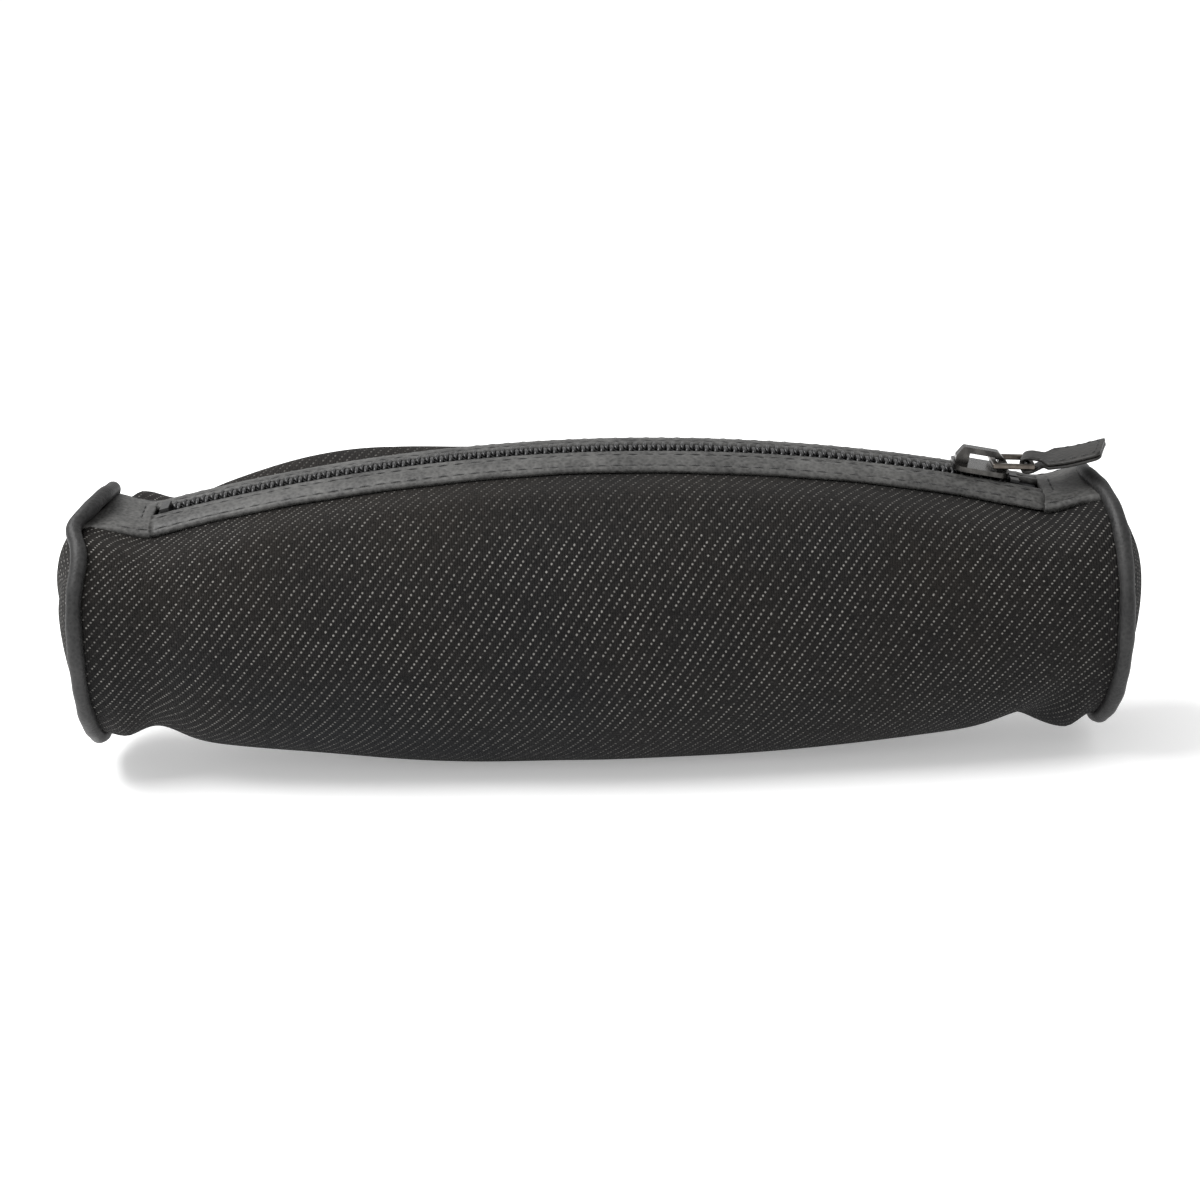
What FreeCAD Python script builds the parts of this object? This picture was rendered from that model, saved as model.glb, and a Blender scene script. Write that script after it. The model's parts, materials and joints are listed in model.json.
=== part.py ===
import FreeCAD, Part
import math
import os

import Sketcher

# A stuffed, barrel-shaped zip case for brushes and pens.  X runs along the case, +Y is its rear and
# +Z is up.  The origin is the centre of the flat patch of denim that the case lies on.

Vector = FreeCAD.Vector
Y_AXIS = Vector(0, 1, 0)
FAR = 150.0                       # half side of the blocks that only divide space

SIZES = [
    # the stuffed denim tube
    ("belly_radius", 29.8), ("end_radius", 22.8), ("axis_height", 29.0), ("half_length", 94.0),
    ("denim", 1.2), ("lining", 0.5), ("layer_gap", 0.05),
    # the flattened top that the zip lies on: an arc along X, rising again to the round ends
    ("track_radius", 350.0), ("flat_height", 28.0), ("flat_end", 80.0), ("corner_rise", 6.9),
    # where the soft mouth is split from the fixed ends and floor
    ("wall_half", 62.5), ("split_gap", 0.3), ("floor_half", 7.0),
    # zip: window, tape, coil, leather facing
    ("slot_half", 6.5), ("slot_end", 81.0), ("window_half", 2.9), ("facing_half", 9.35),
    ("facing", 1.2), ("facing_lift", 0.15), ("facing_end", 93.0), ("tape_half", 6.4),
    ("tape", 0.6), ("tape_end", 80.7), ("coil_half", 2.6), ("coil_inner", 0.55), ("coil_height", 1.6),
    ("coil_right", 74.8), ("coil_left", 77.5), ("stop_length", 1.6), ("stop_gap", 0.4),
    ("stitch", 0.3), ("stitch_inner", 4.5), ("stitch_outer", 8.4),
    # round ends: piping and the discs inside it
    ("piping_radius", 22.6), ("piping_wire", 1.5), ("piping_core", 0.9), ("piping_offset", 1.55),
    ("disc_radius", 21.0), ("end_lining", 0.4), ("stiffener", 0.8), ("panel", 1.0),
    ("dome_height", 3.4), ("binding", 0.7), ("binding_start", 90.0),
    # slider
    ("slider_x", 69.7), ("plate_length", 10.5), ("plate_width", 8.4), ("plate", 0.9),
    ("plate_corner", 2.2), ("plate_floor", 1.9), ("lower_width", 7.6), ("lower_top", 0.9),
    ("post_length", 2.4), ("post_width", 0.5), ("post_inset", 0.3),
    # the arch over the slider that holds the ring
    ("arch_left", 4.8), ("arch_right", 4.9), ("arch_inner_left", 2.4), ("arch_inner_right", 3.0),
    ("arch_opening", 1.9), ("arch_height", 3.0), ("arch_width", 2.2), ("arch_slope", 1.1),
    # ring and leather pull
    ("ring_bar", 1.0), ("bar_spacing", 6.8), ("ring_inner", 6.0), ("bar_x", 2.2), ("ring_tilt", 8.4),
    ("loop_radius", 1.6), ("loop_hole", 0.85), ("loop_width", 4.8),
    ("tab_length", 10.6), ("tab_width", 10.0), ("tab_leather", 1.4), ("neck_length", 3.2),
    ("tab_tilt", 20.0), ("tab_seam", 0.9), ("thread", 0.3),
]

doc = FreeCAD.newDocument("zip_case")
sheet = doc.addObject("Spreadsheet::Sheet", "sizes")
for row, (alias, value) in enumerate(SIZES, 1):
    sheet.set(f"A{row}", alias)
    sheet.set(f"B{row}", str(value))
    sheet.setAlias(f"B{row}", alias)
doc.recompute()

nodes = []


def size(alias):
    return float(getattr(sheet, alias))


def make_node(item, label):
    """Name a finished sub-part, so that it is checked and written out."""
    item.Label = label
    nodes.append(item)
    return item


# ---------------------------------------------------------------- the stuffed tube


def radius_at(x):
    return size("end_radius") + (size("belly_radius") - size("end_radius")) * (
        1 - (x / size("half_length")) ** 2)


def flat_at(x):
    """Height of the flattened top above the tube's axis."""
    track = size("track_radius")
    arc = size("flat_height") - (track - math.sqrt(track ** 2 - x ** 2))
    beyond = max(0.0, abs(x) - size("flat_end")) / (size("half_length") - size("flat_end"))
    return arc + size("corner_rise") * beyond ** 2


def stations():
    half, end = size("half_length"), size("flat_end")
    third = (half - end) / 3
    along = [end * share for share in (0.25, 0.5, 0.75, 0.875, 1.0)]
    positive = along + [end + third, end + 2 * third, half]
    return [-x for x in reversed(positive)] + [0.0] + positive


def tube_section(x, inset):
    """A circle with its top sliced flat, standing across the tube's axis."""
    radius = radius_at(x) - inset
    height = flat_at(x) - inset
    half_chord = math.sqrt(radius ** 2 - height ** 2)
    axis = size("axis_height")
    front = Vector(x, -half_chord, axis + height)
    rear = Vector(x, half_chord, axis + height)
    bottom = Vector(x, 0, axis - radius)
    return Part.Wire([Part.Arc(front, bottom, rear).toShape(), Part.makeLine(rear, front)])


solid_tubes = {}


def solid_tube(inset):
    if inset not in solid_tubes:
        wires = [tube_section(x, inset) for x in stations()]
        solid_tubes[inset] = Part.makeLoft(wires, True, False)
    return solid_tubes[inset]


def layer(outer, thickness):
    """The closed skin between two insets of the tube, open at both ends."""
    return solid_tube(outer).cut(solid_tube(outer + thickness))


def block(x_low, x_high, y_low, y_high, z_low, z_high):
    return Part.makeBox(x_high - x_low, y_high - y_low, z_high - z_low, Vector(x_low, y_low, z_low))


def above_ground():
    return block(-FAR, FAR, -FAR, FAR, 0, 2 * FAR)


def zip_slot():
    end, half = size("slot_end"), size("slot_half")
    return block(-end, end, -half, half, size("axis_height"), FAR)


def front_space():
    half, edge = size("wall_half"), size("floor_half") + size("split_gap")
    return block(-half, half, -FAR, -edge, -FAR, FAR)


def rear_space():
    return front_space().mirror(Vector(0, 0, 0), Y_AXIS)


def base_space():
    """The fixed ends of the tube and the strip of floor between them."""
    inner = size("wall_half") + size("split_gap")
    floor = size("floor_half")
    strip = block(-inner, inner, -floor, floor, -FAR, size("axis_height"))
    left = block(-FAR, -inner, -FAR, FAR, -FAR, FAR)
    right = block(inner, FAR, -FAR, FAR, -FAR, FAR)
    return strip.multiFuse([left, right])


def add_shape(label, shape):
    item = doc.addObject("Part::Feature", label)
    item.Shape = shape
    item.Placement = FreeCAD.Placement()
    return make_node(item, label)


def add_tube_layers():
    denim = size("denim")
    lining_inset = denim + size("layer_gap")
    spaces = (("base", base_space()), ("front", front_space()), ("rear", rear_space()))
    skins = (
        ("denim", layer(0.0, denim).common(above_ground()).cut(zip_slot())),
        ("lining", layer(lining_inset, size("lining")).cut(zip_slot())),
    )
    for skin_name, skin in skins:
        for space_name, space in spaces:
            add_shape(f"{skin_name}_{space_name}", skin.common(space))


def add_seam_bindings():
    """Tape bound over the raw edges inside each end seam."""
    inset = size("denim") + size("lining") + 2 * size("layer_gap")
    band = layer(inset, size("binding"))
    start, end = size("binding_start"), size("half_length")
    for side, low, high in (("left", -end, -start), ("right", start, end)):
        add_shape(f"{side}_seam_binding", band.common(block(low, high, -FAR, FAR, -FAR, FAR)))


# ---------------------------------------------------------------- the two round ends


def add_cylinder(name, radius, height, start, sign):
    """A disc across X that begins at start, measured outward from the tube's end."""
    item = doc.addObject("Part::Cylinder", name)
    item.setExpression("Radius", radius)
    item.setExpression("Height", height)
    item.Placement.Rotation = FreeCAD.Rotation(Y_AXIS, 90 * sign)
    item.setExpression("Placement.Base.x", f"{sign} * (sizes.half_length + {start})")
    item.setExpression("Placement.Base.z", "sizes.axis_height")
    return item


def add_torus(name, wire, sign):
    item = doc.addObject("Part::Torus", name)
    item.setExpression("Radius1", "sizes.piping_radius")
    item.setExpression("Radius2", wire)
    item.Placement.Rotation = FreeCAD.Rotation(Y_AXIS, 90)
    item.setExpression("Placement.Base.x", f"{sign} * (sizes.half_length + sizes.piping_offset)")
    item.setExpression("Placement.Base.z", "sizes.axis_height")
    return item


def dome_profile(body):
    """Half of the domed end panel's section, drawn beside the axis that it turns about."""
    plane = next(item for item in body.Origin.OriginFeatures if item.Role == "XZ_Plane")
    sketch = body.newObject("Sketcher::SketchObject", "dome_profile")
    sketch.AttachmentSupport = [(plane, "")]
    sketch.MapMode = "FlatFace"
    rim, rise, panel = size("disc_radius"), size("dome_height"), size("panel")
    bend = (rim ** 2 + rise ** 2) / (2 * rise)
    half_angle = math.asin(rim / bend)
    points = []
    for offset in (0.0, panel):
        for angle in (0.0, half_angle / 2, half_angle):
            points.append(Vector((bend - offset) * math.sin(angle),
                                 (bend - offset) * math.cos(angle) - bend + rise, 0))
    outer_top, outer_mid, outer_rim, inner_top, inner_mid, inner_rim = points
    sketch.addGeometry(Part.Arc(outer_top, outer_mid, outer_rim), False)
    sketch.addGeometry(Part.LineSegment(outer_rim, inner_rim), False)
    sketch.addGeometry(Part.Arc(inner_rim, inner_mid, inner_top), False)
    sketch.addGeometry(Part.LineSegment(inner_top, outer_top), False)
    return sketch


def add_end_panel(name, sign):
    body = doc.addObject("PartDesign::Body", name)
    sketch = dome_profile(body)
    doc.recompute()
    turn = body.newObject("PartDesign::Revolution", "dome")
    turn.Profile = sketch
    turn.ReferenceAxis = (sketch, ["V_Axis"])
    turn.Angle = 360
    body.Placement.Rotation = FreeCAD.Rotation(Y_AXIS, 90 * sign)
    body.setExpression("Placement.Base.x", f"{sign} * (sizes.half_length + sizes.end_lining"
                       " + sizes.stiffener + sizes.panel + 3 * sizes.layer_gap)")
    body.setExpression("Placement.Base.z", "sizes.axis_height")
    return body


def add_round_ends():
    for side, sign in (("left", -1), ("right", 1)):
        cord = add_torus(f"{side}_cord_ring", "sizes.piping_core", sign)
        make_node(cord, f"{side}_piping_cord")
        tool = add_torus(f"{side}_cord_space", "sizes.piping_core + sizes.layer_gap", sign)
        cover = doc.addObject("Part::Cut", f"{side}_cover")
        cover.Base = add_torus(f"{side}_cover_ring", "sizes.piping_wire", sign)
        cover.Tool = tool
        make_node(cover, f"{side}_piping_cover")
        lining = add_cylinder(f"{side}_lining_disc", "sizes.disc_radius", "sizes.end_lining",
                              "sizes.layer_gap", sign)
        make_node(lining, f"{side}_end_lining")
        board = add_cylinder(f"{side}_board", "sizes.disc_radius", "sizes.stiffener",
                             "sizes.end_lining + 2 * sizes.layer_gap", sign)
        make_node(board, f"{side}_end_stiffener")
        make_node(add_end_panel(f"{side}_panel", sign), f"{side}_end_panel")


# ---------------------------------------------------------------- strips along the zip's arc


def rectangle_sketch(body, role, limits):
    """A rectangle on an origin plane, with its four sides bound to expressions."""
    plane = next(item for item in body.Origin.OriginFeatures if item.Role == role)
    sketch = body.newObject("Sketcher::SketchObject", "section")
    sketch.AttachmentSupport = [(plane, "")]
    sketch.MapMode = "FlatFace"
    corners = [Vector(-1, 1, 0), Vector(1, 1, 0), Vector(1, 2, 0), Vector(-1, 2, 0)]
    for index in range(4):
        sketch.addGeometry(Part.LineSegment(corners[index], corners[(index + 1) % 4]), False)
    for index in range(4):
        sketch.addConstraint(Sketcher.Constraint("Coincident", index, 2, (index + 1) % 4, 1))
    for index, kind in enumerate(("Horizontal", "Vertical", "Horizontal", "Vertical")):
        sketch.addConstraint(Sketcher.Constraint(kind, index))
    places = (("low_u", "DistanceX", 0, 1), ("high_u", "DistanceX", 0, 2),
              ("low_v", "DistanceY", 0, 1), ("high_v", "DistanceY", 2, 1))
    for (name, kind, line, end), limit in zip(places, limits):
        index = sketch.addConstraint(Sketcher.Constraint(kind, -1, 1, line, end, 1.0))
        sketch.renameConstraint(index, name)
        sketch.setExpression(f"Constraints.{name}", limit)
    doc.recompute()
    return sketch


def add_arc_strip(name, y_limits, level_limits, x_limits):
    """A strip swept along the zip's arc; its levels are heights above the flattened top."""
    body = doc.addObject("PartDesign::Body", name)
    levels = [f"sizes.track_radius + {level}" for level in level_limits]
    sketch = rectangle_sketch(body, "YZ_Plane", [*y_limits, *levels])
    low, high = [f"asin(({x}) / sizes.track_radius)" for x in x_limits]
    sweep = body.newObject("PartDesign::Revolution", "sweep")
    sweep.Profile = sketch
    sweep.ReferenceAxis = (sketch, ["H_Axis"])
    sweep.setExpression("Angle", f"{high} - {low}")
    body.Placement.Rotation = FreeCAD.Rotation(Y_AXIS, 1)
    body.setExpression("Placement.Rotation.Angle", low)
    body.setExpression("Placement.Base.z",
                       "sizes.axis_height + sizes.flat_height - sizes.track_radius")
    return body


def mirrored_limits(sign, near, far):
    return (near, far) if sign > 0 else (f"-({far})", f"-({near})")


WALL_SPAN = ("-sizes.wall_half", "sizes.wall_half")


def end_span(sign, far):
    return mirrored_limits(sign, "sizes.wall_half + sizes.split_gap", far)


def strip_group(label, strips):
    """Several strips that are one sub-part."""
    group = doc.addObject("Part::Compound", f"{label}_group")
    group.Links = strips
    return make_node(group, label)


def add_stitching(label, signs, span):
    strips = []
    for sign in signs:
        for line in ("sizes.stitch_inner", "sizes.stitch_outer"):
            y_limits = mirrored_limits(sign, line, f"{line} + sizes.stitch")
            levels = ("sizes.facing + 2 * sizes.layer_gap",
                      "sizes.facing + 2 * sizes.layer_gap + sizes.stitch / 2")
            strips.append(add_arc_strip(f"{label}_line", y_limits, levels, span))
    strip_group(label, strips)


def add_zip_sides():
    """Tape, coil and leather facing that move with each wall of the mouth."""
    for side, sign in (("front", -1), ("rear", 1)):
        tape = add_arc_strip(f"{side}_tape", mirrored_limits(sign, "sizes.coil_inner",
                             "sizes.tape_half"), ("-sizes.tape", "0"), WALL_SPAN)
        make_node(tape, f"{side}_zip_tape")
        coil = add_arc_strip(f"{side}_coil", mirrored_limits(sign, "sizes.coil_inner",
                             "sizes.coil_half"), ("sizes.layer_gap", "sizes.coil_height"), WALL_SPAN)
        make_node(coil, f"{side}_zip_coil")
        facing = add_arc_strip(f"{side}_leather", mirrored_limits(sign, "sizes.window_half",
                               "sizes.facing_half"), ("sizes.facing_lift", "sizes.facing"), WALL_SPAN)
        make_node(facing, f"{side}_facing")
        add_stitching(f"{side}_facing_stitching", (sign,), WALL_SPAN)


def add_slit(name, half_width, sign, far):
    """The block that opens the zip's centre line in a strip at one fixed end."""
    item = doc.addObject("Part::Box", name)
    item.setExpression("Width", f"2 * {half_width}")
    item.setExpression("Length", f"{far} - sizes.wall_half")
    item.setExpression("Height", "sizes.belly_radius")
    low = "sizes.wall_half" if sign > 0 else f"-({far})"
    item.setExpression("Placement.Base.x", low)
    item.setExpression("Placement.Base.y", f"-{half_width}")
    item.setExpression("Placement.Base.z", "sizes.axis_height")
    return item


def add_end_tape(side, sign, coil_end):
    base = add_arc_strip(f"{side}_tape", ("-sizes.tape_half", "sizes.tape_half"),
                         ("-sizes.tape", "0"), end_span(sign, "sizes.tape_end"))
    cut = doc.addObject("Part::Cut", f"{side}_tape_cut")
    cut.Base = base
    cut.Tool = add_slit(f"{side}_tape_slit", "sizes.coil_inner", sign, coil_end)
    make_node(cut, f"{side}_zip_tape_end")


def add_end_coils(side, sign, coil_end):
    coils = []
    for edge in (-1, 1):
        y_limits = mirrored_limits(edge, "sizes.coil_inner", "sizes.coil_half")
        coils.append(add_arc_strip(f"{side}_coil_end", y_limits,
                                   ("sizes.layer_gap", "sizes.coil_height"),
                                   end_span(sign, coil_end)))
    strip_group(f"{side}_zip_coil_end", coils)


def add_stop(label, sign, coil_end, y_ranges):
    near = f"{coil_end} + sizes.stop_gap"
    span = mirrored_limits(sign, near, f"{near} + sizes.stop_length")
    levels = ("sizes.layer_gap", "sizes.coil_height + 2 * sizes.layer_gap")
    strip_group(label, [add_arc_strip(f"{label}_piece", y_range, levels, span)
                        for y_range in y_ranges])


def facing_section(x):
    """Rectangle across the leather that closes the zip at one end, lying on the flattened top."""
    half = size("facing_half")
    low = size("axis_height") + flat_at(x) + size("facing_lift")
    high = size("axis_height") + flat_at(x) + size("facing")
    corners = [Vector(x, -half, low), Vector(x, half, low), Vector(x, half, high),
               Vector(x, -half, high)]
    return Part.makePolygon(corners + corners[:1])


def add_end_facing(side, sign):
    start = size("wall_half") + size("split_gap")
    end, turn = size("facing_end"), size("flat_end")
    third, quarter = (turn - start) / 3, (end - turn) / 4
    places = [start, start + third, start + 2 * third]
    places += [turn + quarter * step for step in range(5)]
    leather = Part.makeLoft([facing_section(sign * x) for x in places], True, True)
    window = size("window_half")
    near, far = sorted((0.0, sign * size("slot_end")))
    opening = block(near, far, -window, window, size("axis_height"), FAR)
    tube = solid_tube(-size("layer_gap"))
    add_shape(f"{side}_facing_end", leather.cut(opening).cut(tube))


def add_zip_ends():
    stop_side = mirrored_limits(1, "sizes.coil_inner", "sizes.coil_half")
    stop_other = mirrored_limits(-1, "sizes.coil_inner", "sizes.coil_half")
    for side, sign, coil_end in (("left", -1, "sizes.coil_left"), ("right", 1, "sizes.coil_right")):
        add_end_tape(side, sign, coil_end)
        add_end_coils(side, sign, coil_end)
        add_end_facing(side, sign)
        add_stitching(f"{side}_facing_stitching", (-1, 1), end_span(sign, "sizes.flat_end"))
    add_stop("top_stops", 1, "sizes.coil_right", (stop_side, stop_other))
    add_stop("bottom_stop", -1, "sizes.coil_left", (("-sizes.coil_half", "sizes.coil_half"),))


# ---------------------------------------------------------------- slider, ring and pull


def add_pad(body, sketch, name, length, midplane=False):
    pad = body.newObject("PartDesign::Pad", name)
    pad.Profile = sketch
    pad.setExpression("Length", length)
    pad.Midplane = midplane
    doc.recompute()
    return pad


def raised_rectangle(body, limits, height):
    sketch = rectangle_sketch(body, "XY_Plane", limits)
    sketch.setExpression("AttachmentOffset.Base.z", height)
    doc.recompute()
    return sketch


def slider_placement():
    """Where the slider's own frame, with its origin on the zip's arc, stands on the closed case."""
    track = size("track_radius")
    angle = math.asin(size("slider_x") / track)
    centre = size("axis_height") + size("flat_height") - track
    place = Vector(track * math.sin(angle), 0, centre + track * math.cos(angle))
    return FreeCAD.Placement(place, FreeCAD.Rotation(Y_AXIS, math.degrees(angle)))


def vertical_edges(shape, height):
    names = []
    for index, edge in enumerate(shape.Edges, 1):
        box = edge.BoundBox
        if abs(box.ZLength - height) < 1e-6 and box.XLength < 1e-6 and box.YLength < 1e-6:
            names.append(f"Edge{index}")
    return names


def add_fillet(body, base, names, radius, label):
    fillet = body.newObject("PartDesign::Fillet", label)
    fillet.Base = (base, names)
    fillet.setExpression("Radius", radius)
    doc.recompute()
    return fillet


def add_slider_body():
    body = doc.addObject("PartDesign::Body", "slider")
    half = "sizes.plate_length / 2"
    top = raised_rectangle(body, (f"-{half}", half, "-sizes.plate_width / 2",
                                  "sizes.plate_width / 2"), "sizes.plate_floor")
    plate = add_pad(body, top, "top_plate", "sizes.plate")
    add_fillet(body, plate, vertical_edges(body.Shape, size("plate")), "sizes.plate_corner",
               "plate_corners")
    low = "-sizes.lower_top - sizes.plate"
    post = raised_rectangle(body, (f"{half} - sizes.post_length - sizes.post_inset",
                                   f"{half} - sizes.post_inset",
                                   "-sizes.post_width / 2", "sizes.post_width / 2"), low)
    add_pad(body, post, "post", "sizes.lower_top + 2 * sizes.plate + sizes.plate_floor")
    lower = raised_rectangle(body, (f"-{half}", half, "-sizes.lower_width / 2",
                                    "sizes.lower_width / 2"), low)
    add_pad(body, lower, "lower_plate", "sizes.plate")
    body.Placement = slider_placement()
    make_node(body, "slider_body")


def add_arch():
    """The raised strap on the slider, a low trapezium with an opening for the ring's bar."""
    body = doc.addObject("PartDesign::Body", "arch")
    plane = next(item for item in body.Origin.OriginFeatures if item.Role == "XZ_Plane")
    sketch = body.newObject("Sketcher::SketchObject", "arch_outline")
    sketch.AttachmentSupport = [(plane, "")]
    sketch.MapMode = "FlatFace"
    foot = size("plate_floor") + size("plate") + size("layer_gap")
    top = foot + size("arch_height")
    ceiling = foot + size("arch_opening")
    left, right, slope = size("arch_left"), size("arch_right"), size("arch_slope")
    inner_left, inner_right = size("arch_inner_left"), size("arch_inner_right")
    outline = [(-left, foot), (-left, foot + slope), (-left + slope, top), (right - 2 * slope, top),
               (right, foot + slope), (right, foot), (inner_right, foot), (inner_right, ceiling),
               (-inner_left, ceiling), (-inner_left, foot)]
    corners = [Vector(x, z, 0) for x, z in outline]
    for index, corner in enumerate(corners):
        sketch.addGeometry(Part.LineSegment(corner, corners[(index + 1) % len(corners)]), False)
    doc.recompute()
    pad = add_pad(body, sketch, "strap", "sizes.arch_width", True)
    rounded = [f"Edge{index}" for index, edge in enumerate(pad.Shape.Edges, 1)
               if edge.BoundBox.ZMin > foot + slope - 1e-6 and edge.BoundBox.YLength > 1
               and (edge.BoundBox.ZMax > ceiling + 0.1 or abs(edge.BoundBox.XMin) > inner_right)]
    add_fillet(body, pad, rounded, "sizes.arch_slope / 2", "strap_bends")
    body.Placement = slider_placement()
    make_node(body, "slider_bridge")


def ring_placement():
    """The ring's own frame, with its origin at the bar held by the arch."""
    height = size("plate_floor") + size("plate") + size("layer_gap") + size("arch_opening") / 2
    local = FreeCAD.Placement(Vector(size("bar_x"), 0, height),
                              FreeCAD.Rotation(Y_AXIS, -size("ring_tilt")))
    return slider_placement().multiply(local)


def add_ring():
    body = doc.addObject("PartDesign::Body", "ring")
    half = "sizes.ring_bar / 2"
    outer = raised_rectangle(body, (f"-{half}", f"sizes.bar_spacing + {half}",
                                    "-sizes.ring_inner / 2 - sizes.ring_bar",
                                    "sizes.ring_inner / 2 + sizes.ring_bar"), f"-{half}")
    add_pad(body, outer, "plate", "sizes.ring_bar")
    inner = raised_rectangle(body, (half, f"sizes.bar_spacing - {half}",
                                    "-sizes.ring_inner / 2", "sizes.ring_inner / 2"), half)
    hole = body.newObject("PartDesign::Pocket", "hole")
    hole.Profile = inner
    hole.setExpression("Length", "sizes.ring_bar")
    doc.recompute()
    edges = [f"Edge{index}" for index in range(1, len(body.Shape.Edges) + 1)]
    add_fillet(body, hole, edges, "sizes.ring_bar * 0.28", "soft_edges")
    body.Placement = ring_placement()
    make_node(body, "pull_ring")


def tab_placement():
    """The leather pull's own frame, with its origin at the ring's far bar."""
    local = FreeCAD.Placement(Vector(size("bar_spacing"), 0, 0),
                              FreeCAD.Rotation(Y_AXIS, size("ring_tilt") - size("tab_tilt")))
    return ring_placement().multiply(local)


def add_tab_box(name, x_low, length, width, thickness, z_low):
    item = doc.addObject("Part::Box", name)
    item.setExpression("Length", length)
    item.setExpression("Width", width)
    item.setExpression("Height", thickness)
    item.setExpression("Placement.Base.x", x_low)
    item.setExpression("Placement.Base.y", f"-({width}) / 2")
    item.setExpression("Placement.Base.z", z_low)
    return item


def add_loop(name, radius, width):
    item = doc.addObject("Part::Cylinder", name)
    item.setExpression("Radius", radius)
    item.setExpression("Height", width)
    item.Placement.Rotation = FreeCAD.Rotation(Vector(1, 0, 0), 90)
    item.setExpression("Placement.Base.y", f"{width} / 2")
    return item


def add_tab():
    """Leather folded round the ring's bar, its two layers sewn together as a wider tab."""
    low = "-sizes.tab_leather / 2"
    neck = add_tab_box("neck", "sizes.loop_hole", "sizes.neck_length", "sizes.loop_width",
                       "sizes.tab_leather", low)
    blade = add_tab_box("blade", "sizes.neck_length", "sizes.tab_length", "sizes.tab_width",
                        "sizes.tab_leather", low)
    leather = doc.addObject("Part::MultiFuse", "folded_leather")
    leather.Shapes = [add_loop("loop", "sizes.loop_radius", "sizes.loop_width"), neck, blade]
    tab = doc.addObject("Part::Cut", "tab")
    tab.Base = leather
    tab.Tool = add_loop("bar_space", "sizes.loop_hole", "2 * sizes.loop_width")
    tab.Placement = tab_placement()
    make_node(tab, "pull_tab")


def add_tab_stitching():
    """A line of thread along the tab's sides and end, on its upper face."""
    seam, thread = "sizes.tab_seam", "sizes.thread"
    level = "sizes.tab_leather / 2 + sizes.layer_gap"
    outer = add_tab_box("seam_outer", f"sizes.neck_length + {seam}", f"sizes.tab_length - 2 * {seam}",
                        f"sizes.tab_width - 2 * {seam}", f"{thread} / 2", level)
    inner = add_tab_box("seam_inner", f"sizes.neck_length + {seam} - {thread}",
                        f"sizes.tab_length - 2 * {seam}",
                        f"sizes.tab_width - 2 * {seam} - 2 * {thread}", f"{thread}", f"{level} - 0.1")
    line = doc.addObject("Part::Cut", "tab_seam")
    line.Base = outer
    line.Tool = inner
    line.Placement = tab_placement()
    make_node(line, "pull_tab_stitching")


# ---------------------------------------------------------------- checks and output


def check_everything():
    doc.recompute()
    for item in doc.Objects:
        if "Invalid" in item.State or "Error" in item.State:
            raise RuntimeError(f"{item.Label} failed to build: {item.State}")
    for item in nodes:
        if item.Shape.isNull() or not item.Shape.isValid() or not item.Shape.Solids:
            raise RuntimeError(f"{item.Label} has no valid solid")


def write_parts():
    os.makedirs("parts", exist_ok=True)
    for item in nodes:
        item.Shape.exportStep(os.path.join("parts", item.Label + ".step"))
        print(f"{item.Label:26s} {len(item.Shape.Solids)} solid  {item.Shape.Volume:9.1f} mm3")


def main():
    add_tube_layers()
    add_seam_bindings()
    add_round_ends()
    add_zip_sides()
    add_zip_ends()
    add_slider_body()
    add_arch()
    add_ring()
    add_tab()
    add_tab_stitching()
    check_everything()
    write_parts()


main()
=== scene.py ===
import json
import math

import bmesh
import bpy
import numpy as np
from mathutils import Matrix, Vector


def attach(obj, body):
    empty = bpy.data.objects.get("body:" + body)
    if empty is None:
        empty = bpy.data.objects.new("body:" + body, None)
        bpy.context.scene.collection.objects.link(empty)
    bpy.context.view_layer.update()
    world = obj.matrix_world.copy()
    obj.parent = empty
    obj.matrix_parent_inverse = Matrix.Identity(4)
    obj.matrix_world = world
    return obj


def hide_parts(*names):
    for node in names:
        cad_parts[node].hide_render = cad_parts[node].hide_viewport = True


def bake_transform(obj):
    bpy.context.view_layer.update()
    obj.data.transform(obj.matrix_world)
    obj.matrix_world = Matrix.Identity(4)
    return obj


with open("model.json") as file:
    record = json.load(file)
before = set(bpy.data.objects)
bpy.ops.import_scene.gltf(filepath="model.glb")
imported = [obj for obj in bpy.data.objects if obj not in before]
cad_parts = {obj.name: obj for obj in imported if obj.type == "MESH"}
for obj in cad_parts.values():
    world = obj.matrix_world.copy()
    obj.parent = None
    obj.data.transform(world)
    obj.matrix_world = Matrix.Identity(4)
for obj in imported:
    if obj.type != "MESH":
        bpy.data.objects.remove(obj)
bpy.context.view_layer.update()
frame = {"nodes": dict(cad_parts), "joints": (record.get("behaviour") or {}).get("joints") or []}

# Lengths in this file are millimetres in the row frame, and MM turns them into metres.
MM = 0.001
TAU = 2 * math.pi

# ---------------------------------------------------------------- the object's own geometry
# Angles round the tube are measured from its top, positive towards the front (-Y).

AXIS = 29.0                      # height of the tube's axis
BELLY = 29.8                     # radius at the middle
BARREL = 505.0                   # radius of the barrel's lengthwise curve
END_RADIUS = 22.6                # radius of the piped seam
SEAM_X = 93.0                    # piped seam, before the zip pulls its top inward
TRACK = 350.0                    # radius of the arc that the zip lies on
FLAT = 28.0                      # height of the zip band above the axis at the middle
BAND_END = 80.0                  # where the band leaves the arc and rises to the seam
WINDOW_HALF = 2.9
FACING_HALF = 9.35
LEATHER = 1.2
COIL_PITCH = 1.72
FLOOR_GAP = 0.15                 # keeps the lowest denim clear of the floor's surface
THREAD_LEVEL = LEATHER - 0.16    # the facing's seams lie sunk in their grooves


def smooth(t):
    t = np.clip(t, 0.0, 1.0)
    return t * t * (3 - 2 * t)


def bell(value, centre, width):
    return np.exp(-0.5 * ((value - centre) / width) ** 2)


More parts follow.
